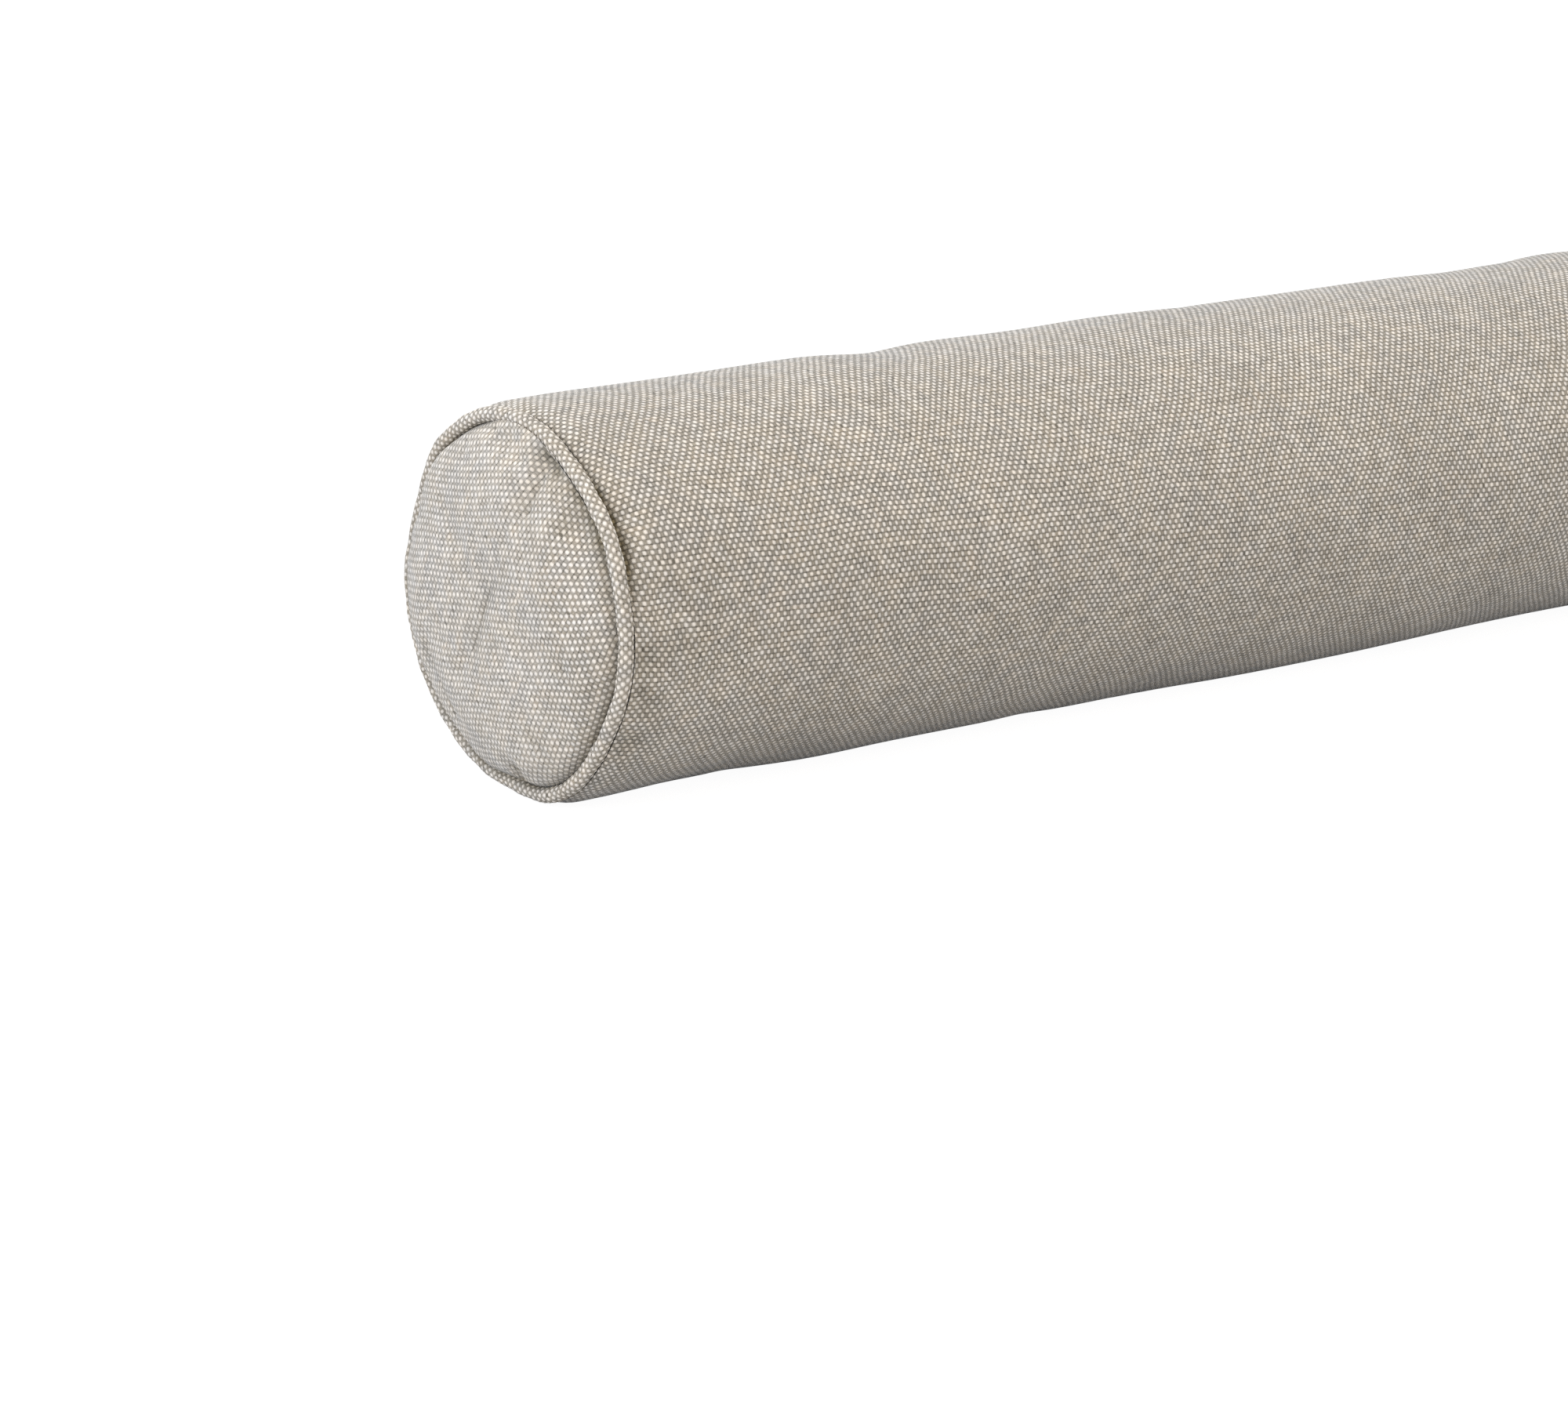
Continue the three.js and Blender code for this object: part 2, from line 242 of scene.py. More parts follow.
# How square a crossing of the weave is, and the half sizes of a dark one in yarns
ROUNDING = 2.4
DARK_WIDTH = 0.62
DARK_LENGTH = 0.70

# Points round each skin. The tube's rings lie round its cord, over its shoulder, beyond that, and along
# its middle.
TUBE_COLUMNS = 224
TUBE_CORD_RINGS = 9
TUBE_SHOULDER_RINGS = 16
TUBE_OUTER_RINGS = 22
TUBE_MIDDLE_RINGS = 300
PANEL_COLUMNS = 288
PANEL_RINGS = 88

# The filled cloth is blown up a little as Blender's cloth, held at its seams, on a skin with fewer rings
# and only every few columns. growth is the slack of the cloth as a share, and most is the furthest that
# a point may move. The middle of an end panel stays out of it, because the cells are too small there.
PRESSURE = 4
LAST_FRAME = 20
Swelling = namedtuple("Swelling", "rings step growth bending most")
TUBE_SWELLING = Swelling(rings=181, step=2, growth=0.012, bending=4, most=0.0012)
PANEL_SWELLING = Swelling(rings=19, step=4, growth=0.016, bending=3, most=0.0018)
PANEL_STILL_SHARE = 0.14

# The cord's uneven filling and its cover: how far the cover lies under the full radius, the height of its
# yarns, and how it slips round the cord
COVER_SINK = 0.0001
COVER_RELIEF = 0.00022
COVER_SLIP = [Ripple(3, 0.6, 0.0005), Ripple(7, 2.0, 0.0003)]
# How dark the painted shade on the cord's flanks is, at most
CORD_SHADE_DEPTH = 0.8

# The camera at the photo's viewpoint
CAMERA_PLACE = (-1.4489, -1.5086, 0.5016)
CAMERA_RIGHT = Vector((0.80018, -0.59977, 0))
CAMERA_UP = Vector((0.14980, 0.19985, 0.96831))

# Square lights, aimed at the near half of the bolster, and the tint of the even light from all round
SoftLight = namedtuple("SoftLight", "name place color")
SOFT_LIGHTS = [
    SoftLight("side", (-2.4, 0.2, 0.6), (0.985, 1, 1.025)),
    SoftLight("top", (-0.3, 0, 2.2), (1.1, 1, 0.82)),
    SoftLight("front", (-0.7, -1.9, 1.5), (1.04, 0.79, 0.46)),
]
LIGHT_SIZE = 1.2
LIGHT_AIM = Vector((-0.2, 0, 0.07))
SKY_TINT = (0.96, 1, 1.055)
FLOOR_REACH = 60

End = namedtuple("End", "name side seam folds creases")
NEAR = End("near", -1, NEAR_SEAM, NEAR_FOLDS, NEAR_CREASES)
FAR = End("far", 1, PLAIN_SEAM, FAR_FOLDS, FAR_CREASES)

# Points along each cord and round it
CordSkin = namedtuple("CordSkin", "end columns sides")
CORD_SKINS = [CordSkin(NEAR, 1440, 60), CordSkin(FAR, 720, 36)]


class BolsterCloth(bpy.types.PropertyGroup):
    """Colours and yarns of the woven cloth"""

    light_yarn: bpy.props.FloatVectorProperty(
        name="Light yarn", description="Colour of the cream yarn that shows as dots",
        subtype="COLOR", size=3, min=0, max=1, default=(0.80, 0.752, 0.702),
    )
    dark_yarn: bpy.props.FloatVectorProperty(
        name="Dark yarn", description="Colour of the taupe yarn between the dots",
        subtype="COLOR", size=3, min=0, max=1, default=(0.375, 0.338, 0.283),
    )
    # Colour of the painted shade deep between the yarns; the dark specks take it too
    gap: bpy.props.FloatVectorProperty(
        name="Gap", description="Colour deep between the yarns",
        subtype="COLOR", size=3, min=0, max=1, default=(0.088, 0.078, 0.06),
    )
    slub: bpy.props.FloatVectorProperty(
        name="Slub", description="Colour of the tan fibres spun into some yarns",
        subtype="COLOR", size=3, min=0, max=1, default=(0.44, 0.345, 0.245),
    )
    tube_yarn_along: bpy.props.FloatProperty(
        name="Tube, along", description="Width of one yarn, measured along the tube",
        subtype="DISTANCE", default=0.001505, min=0.0002,
    )
    tube_yarn_around: bpy.props.FloatProperty(
        name="Tube, around", description="Width of one yarn, measured round the tube",
        subtype="DISTANCE", default=0.00195, min=0.0002,
    )
    panel_yarn_across: bpy.props.FloatProperty(
        name="Panel, across", description="Width of one yarn across an end panel's grain",
        subtype="DISTANCE", default=0.0015, min=0.0002,
    )
    panel_yarn_along: bpy.props.FloatProperty(
        name="Panel, along", description="Width of one yarn along an end panel's grain",
        subtype="DISTANCE", default=0.00207, min=0.0002,
    )
    piping_yarn_along: bpy.props.FloatProperty(
        name="Piping, along", description="Width of one yarn along the piping",
        subtype="DISTANCE", default=0.00165, min=0.0002,
    )
    piping_yarn_round: bpy.props.FloatProperty(
        name="Piping, round", description="Width of one yarn round the piping",
        subtype="DISTANCE", default=0.00172, min=0.0002,
    )
    relief: bpy.props.FloatProperty(
        name="Relief", description="Height of a yarn over its neighbour",
        subtype="DISTANCE", default=0.00034, min=0,
    )


class BolsterStage(bpy.types.PropertyGroup):
    """The floor, the light and the camera"""

    floor: bpy.props.FloatVectorProperty(
        name="Floor", description="Colour of the plain floor",
        subtype="COLOR", size=3, min=0, max=1, default=(0.62, 0.62, 0.62),
    )
    floor_glow: bpy.props.FloatProperty(
        name="Floor glow", description="Light that shines through the floor sheet towards the camera",
        default=0.955, min=0,
    )
    floor_shade: bpy.props.FloatProperty(
        name="Floor shade", description="Share of the floor's own light and shade that the camera sees",
        subtype="FACTOR", default=0.24, min=0, max=1,
    )
    sky: bpy.props.FloatProperty(
        name="Sky", description="Strength of the even light from all round", default=0.735, min=0,
    )
    side_power: bpy.props.FloatProperty(
        name="Side light", description="Power of the soft light beyond the near end",
        unit="POWER", default=17.1, min=0,
    )
    top_power: bpy.props.FloatProperty(
        name="Top light", description="Power of the soft light overhead",
        unit="POWER", default=11.8, min=0,
    )
    front_power: bpy.props.FloatProperty(
        name="Front light", description="Power of the warm, weak light beside the camera",
        unit="POWER", default=9.2, min=0,
    )
    focal_length: bpy.props.FloatProperty(
        name="Focal length", description="Lens of the camera, in millimetres on a 36 mm wide sensor",
        default=115.06, min=10,
    )


def keep_above(value, limit, blend):
    """Soft lower bound: value where it is well above limit, limit itself where it is well below."""
    over = value - limit
    blended = limit + (over + blend) ** 2 / (4 * blend)
    return np.where(over >= blend, value, np.where(over <= -blend, limit, blended))


def eased(value):
    """0 below 0, 1 above 1, and a smooth rise between."""
    value = np.clip(value, 0, 1)
    return value * value * (3 - 2 * value)


def smooth_through(before, start, end, after, share):
    """A smooth curve from start to end through evenly spaced values."""
    bend = 2 * before - 5 * start + 4 * end - after
    twist = 3 * (start - end) + after - before
    return start + 0.5 * share * (end - before + share * (bend + share * twist))


def round_table(rows, column, angle):
    """A smooth periodic curve through a table's values at equal steps of angle."""
    values = np.array([getattr(row, column) for row in rows], float)
    place = (np.asarray(angle) / TURN % 1) * len(values)
    step = np.floor(place).astype(int)
    picked = [values[(step + k) % len(values)] for k in (-1, 0, 1, 2)]
    return smooth_through(*picked, place - step)


def seam_radius(end, angle):
    """The seam's radius at an angle, kept high enough for its cord to clear the floor."""
    radius = round_table(end.seam, "radius", angle)
    drop = np.maximum(-np.sin(angle), 0.1)
    return -keep_above(-radius, -LOWEST_SEAM / drop, FLAT_BLEND)


def seam_set_back(end, angle):
    return round_table(end.seam, "set_back", angle)


def leave_turn(end, side, angle):
    """The turn round the cord at which the cloth on the tube's or the panel's side leaves it."""
    return np.radians(round_table(end.seam, side, angle))


def distance_along(end, inwards):
    """Distance from the near seam of a place that lies inwards from an end's own seam."""
    return inwards if end.side < 0 else SEAM_SPAN - inwards


def rippled(ripples, angle):
    return sum(ripple.height * np.sin(ripple.times * angle + ripple.phase) for ripple in ripples)


def pucker(angle, away):
    """How far the stitches draw the cloth in or out, away from the seam by some distance."""
    return rippled(PUCKERS, angle) * np.exp(-np.maximum(away, 0) / PUCKER_REACH)


def lump_reach(lump, along, angle):
    """1 in the middle of a lump, and fading to nothing round it."""
    around = (np.degrees(angle) - lump.angle + 180) % 360 - 180
    return np.exp(-(((along - lump.along) / lump.long) ** 2) - (around / lump.wide) ** 2)


def tube_radius(along, angle):
    """The radius where the tube's cloth lies, before the floor flattens it."""
    radius = TUBE_RADIUS - DRAW_IN * (
        np.exp(-along / DRAW_IN_REACH) + np.exp(-(SEAM_SPAN - along) / DRAW_IN_REACH)
    )
    for wave in WAVES:
        turn = TURN * along / wave.length + wave.around * angle + wave.phase
        radius = radius + wave.height * np.sin(turn)
    for lump in LUMPS:
        radius = radius + lump.height * lump_reach(lump, along, angle)
    return radius


def axis_points(x, radius, angle):
    """Points at a radius and an angle about the tube's axis, none below the floor."""
    up = keep_above(radius * np.sin(angle), -AXIS_HEIGHT, FLAT_BLEND)
    x, back, up = np.broadcast_arrays(x, radius * np.cos(angle), AXIS_HEIGHT + up)
    return np.stack([x, back, up], axis=-1)


def turn_angles(columns):
    """Angles of a ring's points, starting at the closing seam."""
    return CLOSING_SEAM + TURN * np.arange(columns + 1) / columns


def grid_corners(rows, columns):
    """Row and column numbers of the four corners of every cell of a grid."""
    row, column = np.meshgrid(np.arange(rows), np.arange(columns), indexing="ij")
    row, column = row.ravel(), column.ravel()
    return [(row, column), (row, column + 1), (row + 1, column + 1), (row + 1, column)]


def woven_mesh(name, points, faces, places, marks):
    """A smooth mesh with the cloth's flat coordinates at each corner and named marks at each point."""
    mesh = bpy.data.meshes.new(name)
    mesh.from_pydata(points.reshape(-1, 3).tolist(), [], faces)
    mesh.uv_layers.new(name="Weave").data.foreach_set("uv", places.astype(np.float32).ravel())
    for label, values in marks.items():
        mark = mesh.attributes.new(label, "FLOAT", "POINT")
        mark.data.foreach_set("value", values.astype(np.float32).ravel())
    mesh.shade_smooth()
    return mesh


def skin_mesh(name, first, rings, last, places, marks):
    """A closed skin over rings of points with one point at either end. places are the cloth's flat
    coordinates, and marks are named values at each point of a ring, such as painted shade."""
    rows, columns = rings.shape[0], rings.shape[1] - 1
    points = np.vstack([first[None], rings[:, :-1].reshape(-1, 3), last[None]])

    def at(r, c):
        return 1 + r * columns + c % columns

    corners = grid_corners(rows - 1, columns)
    quads = np.stack([at(r, c) for r, c in corners], axis=1)
    quad_places = np.stack([places[r, c] for r, c in corners], axis=1)
    ring = np.arange(columns)
    end = len(points) - 1
    near_fan = np.stack([np.zeros(columns, int), at(0, ring + 1), at(0, ring)], axis=1)
    far_fan = np.stack([np.full(columns, end), at(rows - 1, ring), at(rows - 1, ring + 1)], axis=1)
    near_middle = np.broadcast_to(places[0, :-1].mean(0), (columns, 2))
    far_middle = np.broadcast_to(places[-1, :-1].mean(0), (columns, 2))
    near_places = np.stack([near_middle, places[0, 1:], places[0, :-1]], axis=1)
    far_places = np.stack([far_middle, places[-1, :-1], places[-1, 1:]], axis=1)
    faces = near_fan.tolist() + quads.tolist() + far_fan.tolist()
    flat = np.vstack([near_places.reshape(-1, 2), quad_places.reshape(-1, 2), far_places.reshape(-1, 2)])
    whole = {}
    for label, values in marks.items():
        inner = values[:, :-1]
        whole[label] = np.concatenate([[inner[0].mean()], inner.ravel(), [inner[-1].mean()]])
    return woven_mesh(name, points, faces, flat, whole)


def resampled(grid, row_place, column_place):
    """Smoothly read a grid of vectors, closed round its columns, between its points."""
    rows, columns = grid.shape[:2]
    row = np.clip(np.floor(row_place).astype(int), 0, rows - 2)
    column = np.floor(column_place).astype(int)
    lines = []
    for i in (-1, 0, 1, 2):
        line = grid[np.clip(row + i, 0, rows - 1)]
        picked = [line[:, (column + k) % columns] for k in (-1, 0, 1, 2)]
        lines.append(smooth_through(*picked, (column_place - column)[None, :, None]))
    return smooth_through(*lines, np.clip(row_place - row, 0, 1)[:, None, None])


def swelling_moves(points, swelling):
    """How the cloth through a grid of points moves under the filling's pressure, held at both end rows."""
    rows, columns = points.shape[:2]
    faces = np.stack([r * columns + c % columns for r, c in grid_corners(rows - 1, columns)], axis=1)
    mesh = bpy.data.meshes.new("swelling")
    mesh.from_pydata(points.reshape(-1, 3).tolist(), [], faces.tolist())
    sheet = bpy.data.objects.new("swelling", mesh)
    bpy.context.scene.collection.objects.link(sheet)
    held = sheet.vertex_groups.new(name="held")
    held.add(list(range(columns)) + list(range((rows - 1) * columns, rows * columns)), 1.0, "REPLACE")
    cloth = sheet.modifiers.new("Cloth", "CLOTH")
    cloth.collision_settings.use_collision = False
    cloth.point_cache.frame_start = 1
    cloth.point_cache.frame_end = LAST_FRAME
    settings = cloth.settings
    settings.quality = 6
    settings.vertex_group_mass = "held"
    settings.use_pressure = True
    settings.uniform_pressure_force = PRESSURE
    settings.bending_stiffness = swelling.bending
    settings.shrink_min = -swelling.growth
    settings.shrink_max = -swelling.growth
    settings.effector_weights.gravity = 0
    for frame_number in range(1, LAST_FRAME + 1):
        bpy.context.scene.frame_set(frame_number)
    settled = sheet.evaluated_get(bpy.context.evaluated_depsgraph_get()).data
    moved = np.empty(rows * columns * 3, np.float32)
    settled.vertices.foreach_get("co", moved)
    moves = moved.reshape(points.shape) - points
    bpy.data.objects.remove(sheet)
    bpy.data.meshes.remove(mesh)
    bpy.context.scene.frame_set(1)
    length = np.linalg.norm(moves, axis=-1, keepdims=True)
    return moves / np.sqrt(1 + (length / swelling.most) ** 2)


def above_floor(points):
    points[..., 2] = keep_above(points[..., 2], 0, FLAT_BLEND)
    return points


def piece_object(mesh, node, material):
    """An object that stands for a CAD node, rides with it and takes its finish from the slot."""
    piece = bpy.data.objects.new(mesh.name, mesh)
    bpy.context.scene.collection.objects.link(piece)
    mesh.materials.append(material)
    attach(piece, "root")
    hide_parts(node)
    return piece


def yarn_drift(across, along):
    """How far the yarns have wandered at a place on the cloth."""
    shift = np.zeros(np.shape(across))
    for wave in YARN_DRIFT:
        turn = TURN * (across / wave.across + along / wave.along) + wave.phase
        shift = shift + wave.shift * np.sin(turn)
    return shift


def drifted(across, along):
    """Flat cloth coordinates with the yarns' wandering added."""
    return np.stack([across + yarn_drift(across, along), along + yarn_drift(along, across)], axis=-1)


def tube_end_rings(end, angle):
    """Rings of one end of the tube from its seam inwards, how far along the tube each lies, and its painted
    shade.
    """
    seam = seam_radius(end, angle)
    set_back = seam_set_back(end, angle)
    leave = leave_turn(end, "tube", angle)
    valley = np.maximum(round_table(end.seam, "valley", angle), 0)
    dark = np.clip(round_table(end.seam, "tube_dark", angle), 0, 1)
    rings = []
    alongs = []
    shades = []

    def add(inwards, radius, held):
        rings.append(axis_points(end.side * (SEAM_SPAN / 2 - inwards - set_back * held), radius, angle))
        along = distance_along(end, inwards)
        # Painted shade: darker colour deep in the crevice, in a faint band beside the seam, and in dark
        # dents
        depth = tube_radius(along, angle) - radius
        deep = eased((depth - CREVICE_SHALLOW) / (CREVICE_DEEP - CREVICE_SHALLOW))
        faint = CREVICE_FAINT * np.exp(-((inwards / CREVICE_REACH) ** 2))
        dents = [lump.dark * lump_reach(lump, along, angle) for lump in LUMPS if lump.dark]
        alongs.append(inwards)
        shades.append(np.maximum(dark * np.maximum(deep, faint), sum(dents)))

    for share in np.linspace(0, 1, TUBE_CORD_RINGS):
        bend = share * leave
        add(np.maximum(SEAT * np.sin(bend), GAP / 2), seam - SEAT * np.cos(bend), 1)
    start = SEAT * np.sin(leave)
    start_radius = seam - SEAT * np.cos(leave)
    over = np.linspace(0, 1, TUBE_SHOULDER_RINGS + 1)[1:] ** 1.6
    beyond = np.linspace(1.25, SHOULDER_RINGS_REACH, TUBE_OUTER_RINGS)
    for share in np.append(over, beyond):
        reach = SEAT + share * SHOULDER
        inwards = reach + (start - SEAT) * (1 - min(share, 1)) ** 2
        climb = np.clip((inwards - start - valley) / (SHOULDER - valley), 0, 1)
        rise = np.sqrt(1 - (1 - climb) ** 2)
        full = tube_radius(distance_along(end, inwards), angle)
        radius = start_radius + (full - start_radius) * rise + pucker(angle, inwards - start) * climb**0.5
        add(inwards, radius, math.exp(-share))
    return rings, np.array([np.broadcast_to(inwards, angle.shape) for inwards in alongs]), np.array(shades)


def tube_panel_mesh():
    angle = turn_angles(TUBE_COLUMNS)
    near, near_along, near_shade = tube_end_rings(NEAR, angle)
    far, far_along, far_shade = tube_end_rings(FAR, angle)
    reach = SEAT + SHOULDER_RINGS_REACH * SHOULDER
    middle_along = np.linspace(reach, SEAM_SPAN - reach, TUBE_MIDDLE_RINGS + 2)[1:-1]
    middle = [axis_points(s - SEAM_SPAN / 2, tube_radius(s, angle), angle) for s in middle_along]
    rings = np.array(near + middle + far[::-1])
    middle_along = np.broadcast_to(middle_along[:, None], (len(middle_along), len(angle)))
    along = np.concatenate([near_along, middle_along, SEAM_SPAN - far_along[::-1]])
    shade = np.concatenate([near_shade, np.zeros(middle_along.shape), far_shade[::-1]])

    # The filling swells a coarser skin with even rows, and its moves are carried over to the fine one.
    even = np.linspace(SEAT, SEAM_SPAN - SEAT, TUBE_SWELLING.rings)
    mean_along = along.mean(axis=1)
    picked = np.searchsorted(mean_along, even).clip(0, len(rings) - 1)
    moves = swelling_moves(rings[picked, :-1:TUBE_SWELLING.step], TUBE_SWELLING)
    row_place = np.interp(mean_along, mean_along[picked], np.arange(len(even)))
    column = np.arange(len(angle))
    rings = rings + resampled(moves, row_place, column / TUBE_SWELLING.step)

    columns_away = np.minimum(column, column[::-1])
    groove = np.exp(-((columns_away / CLOSING_GROOVE_COLUMNS) ** 2))
    middle_line = np.array([0, 0, AXIS_HEIGHT])
    inwards = (middle_line - rings) * (0, 1, 1) / TUBE_RADIUS
    rings = above_floor(rings + CLOSING_GROOVE * groove[:, None] * inwards)
    steps = np.linalg.norm(np.diff(rings, axis=0), axis=2)
    cloth = np.concatenate([np.zeros((1, len(angle))), np.cumsum(steps, axis=0)])
    half = len(rings) // 2
    cloth = cloth - cloth[half] + along[half]
    arc = np.broadcast_to(TUBE_RADIUS * (angle - TURN), along.shape)
    places = drifted(cloth - SKEW_ALONG * arc, arc - SKEW_AROUND * cloth)
    cap = SEAM_SPAN / 2 - GAP / 2
    first = np.array([-cap, 0, AXIS_HEIGHT])
    last = np.array([cap, 0, AXIS_HEIGHT])
    return skin_mesh("tube", first, rings, last, places, {"Crevice": shade})


def fold_height(folds, back, up):
    height = np.zeros(np.shape(back))
    for fold in folds:
        turn = math.radians(fold.turn)
        lengthwise = ((back - fold.back) * math.cos(turn) + (up - fold.up) * math.sin(turn)) / fold.long
        across = ((up - fold.up) * math.cos(turn) - (back - fold.back) * math.sin(turn)) / fold.wide
        height = height + fold.height * np.exp(-(lengthwise**2) - across**2)
    return height


def crease_reach(crease, back, up):
    """1 on a crease's line, and fading to nothing beside it."""
    nearest = np.full(np.shape(back), 1.0)
    for (back0, up0), (back1, up1) in zip(crease.line, crease.line[1:]):
        run, climb = back1 - back0, up1 - up0
        share = np.clip(((back - back0) * run + (up - up0) * climb) / (run**2 + climb**2), 0, 1)
        away = np.hypot(back - back0 - share * run, up - up0 - share * climb)
        nearest = np.minimum(nearest, away)
    return np.exp(-np.sqrt((nearest / crease.wide) ** 2 + 0.04) + 0.2) * eased(4 - nearest / crease.wide)


def panel_surface(end, share, angle, edge_radius):
    """How far an end panel stands out from its seam at a share of the way to its edge, and its painted
    shade.
    """
    plain_edge = SEAT * math.sqrt(0.5)
    radius = share * edge_radius
    back, up = radius * np.cos(angle), radius * np.sin(angle)
    dome = (CROWN - plain_edge) * (1 - share**CROWN_POWER)
    folds = fold_height(end.folds, back, up) * (1 - share**FOLD_FADE_POWER)
    out = plain_edge + dome + folds
    # Painted shade: darker colour in the creases and where the panel rolls down into its seam
    shade = np.zeros(angle.shape)
    for crease in end.creases:
        reach = crease_reach(crease, back, up) * (1 - share**CREASE_FADE_POWER)
        out = out - crease.depth * reach
        shade = np.maximum(shade, crease.dark * reach)

    leave = leave_turn(end, "panel", angle)
    drop = plain_edge - SEAT * np.sin(leave) + seam_set_back(end, angle)
    away = (1 - share) * edge_radius
    roll = np.exp(-((away / round_table(end.seam, "roll", angle)) ** 1.5))
    dark = np.clip(round_table(end.seam, "panel_dark", angle), 0, 1)
    out = keep_above(out - drop * roll, GAP / 2 - seam_set_back(end, angle), FLAT_BLEND / 4)
    return out, np.maximum(shade, dark * roll)


def end_panel_mesh(end):
    angle = turn_angles(PANEL_COLUMNS)
    seam = seam_radius(end, angle)
    set_back = seam_set_back(end, angle)
    leave = leave_turn(end, "panel", angle)
    edge_radius = seam - SEAT * np.cos(leave)
    rings = []
    shade = []

    def add(out, radius):
        rings.append(axis_points(end.side * (SEAM_SPAN / 2 + out), radius, angle))

    shares = 1 - np.linspace(1, 0, PANEL_RINGS + 1)[1:] ** 1.4
    for share in shares:
        out, dark = panel_surface(end, share, angle, edge_radius)
        away = (1 - share) * edge_radius
        risen = 1 - math.exp((share - 1) / PANEL_PUCKER_RISE)
        add(out + pucker(angle + 1, away) * risen, share * edge_radius)
        shade.append(dark)
    rings = np.array(rings)

    even = np.linspace(PANEL_STILL_SHARE, 1, PANEL_SWELLING.rings)
    picked = np.searchsorted(shares, even).clip(0, len(rings) - 1)
    moves = swelling_moves(rings[picked, :-1:PANEL_SWELLING.step], PANEL_SWELLING)
    moves = np.concatenate([np.broadcast_to(moves[0].mean(axis=0), (1, *moves.shape[1:])), moves])
    row_place = np.interp(shares, np.append(0, shares[picked]), np.arange(len(moves)))
    column_place = np.arange(len(angle)) / PANEL_SWELLING.step
    rings = above_floor(rings + resampled(moves, row_place, column_place))
    top = rings[0, :-1].mean(axis=0)

    hem = []
    for hem_share in (0.75, 0.5, 0.25, 0.05):
        bend = hem_share * leave
        x = end.side * (SEAM_SPAN / 2 + np.maximum(SEAT * np.sin(bend) - set_back, GAP / 2))
        hem.append(axis_points(x, seam - SEAT * np.cos(bend), angle))
        shade.append(shade[-1])
    rings = np.concatenate([rings, hem])
    shade = np.array(shade)
    back = np.array([end.side * (SEAM_SPAN / 2 + GAP / 2), 0, AXIS_HEIGHT])
    spokes = np.vstack([np.broadcast_to(top, (1, len(angle), 3)), rings])
    reach = np.cumsum(np.linalg.norm(np.diff(spokes, axis=0), axis=2), axis=0)
    places = drifted(reach * np.cos(angle - PANEL_GRAIN), reach * np.sin(angle - PANEL_GRAIN))
    name = end.name + "_panel"
    pull = eased((rings[..., 1] - PULL_START) / (PULL_FULL - PULL_START))
    if end.side < 0:
        return skin_mesh(name, top, rings, back, places, {"Crevice": shade, "Pull": pull})
    marks = {"Crevice": shade[::-1], "Pull": pull[::-1]}
    return skin_mesh(name, back, rings[::-1], top, places[::-1], marks)


def yarn_dome(across, along):
    """Height of the weave, from 0 between the yarns to 1 on a light yarn, at places counted in yarns."""
    wave = np.cos(math.pi * across) * np.cos(math.pi * along)
    dome = np.abs(wave) * (2 - np.abs(wave))
    return np.where(wave > 0, dome, 0.5 * dome)


def piping_mesh(skin, cloth):
    """The covered cord, with the weave of its cover raised."""
    end, columns, sides = skin
    angle = turn_angles(columns)
    roll = math.pi + TURN * np.arange(sides + 1) / sides
    angle, roll = np.meshgrid(angle, roll, indexing="ij")
    arc = (angle - CLOSING_SEAM) * CORD_RING_RADIUS
    around = (roll - math.pi) * PIPING_RADIUS + rippled(COVER_SLIP, angle)
    weave = yarn_dome(arc / cloth.piping_yarn_along, around / cloth.piping_yarn_round)
    lumpy = 0.00010 * np.sin(23 * angle + 1.0) + 0.00008 * np.sin(41 * angle + 2 * roll)
    radius = PIPING_RADIUS - COVER_SINK + lumpy + COVER_RELIEF * (weave - 0.4)
    middle = end.side * (SEAM_SPAN / 2 - seam_set_back(end, angle))
    points = axis_points(
        middle + radius * np.sin(roll), seam_radius(end, angle) + radius * np.cos(roll), angle
    )
    places = np.stack([arc, around], axis=-1)

    # lean is the turn round the cord from its innermost line, positive on the panel's side.
    lean = -end.side * (roll % TURN - math.pi)
    # Painted shade on the cord's flanks where they turn down into the crevices beside it
    panel_away = np.maximum(lean - leave_turn(end, "panel", angle), 0)
    tube_away = np.maximum(-lean - leave_turn(end, "tube", angle), 0)
    panel_shade = round_table(end.seam, "panel_dark", angle) * np.exp(-((panel_away / CORD_SHADE) ** 2))
    tube_shade = round_table(end.seam, "tube_dark", angle) * np.exp(-((tube_away / CORD_SHADE) ** 2))
    shade = CORD_SHADE_DEPTH * np.clip(np.where(lean > 0, panel_shade, tube_shade), 0, 1)
    corners = grid_corners(columns, sides)
    corners = [corners[k] for k in (0, 3, 2, 1)]
    faces = np.stack([(c % columns) * sides + s % sides for c, s in corners], axis=1)
    flat = np.stack([places[c, s] for c, s in corners], axis=1)
    marks = {"Crevice": shade[:-1, :-1]}
    return woven_mesh(end.name + "_cord", points[:-1, :-1], faces.tolist(), flat, marks)


class Signal:
    """An output of a node, worked with like a number. Each sum or product adds a Math node."""

    def __init__(self, graph, output):
        self.graph = graph
        self.output = output

    def __add__(self, other):
        return self.graph.math("ADD", self, other)

    def __sub__(self, other):
        return self.graph.math("SUBTRACT", self, other)

    def __mul__(self, other):
        return self.graph.math("MULTIPLY", self, other)

    def __truediv__(self, other):
        return self.graph.math("DIVIDE", self, other)


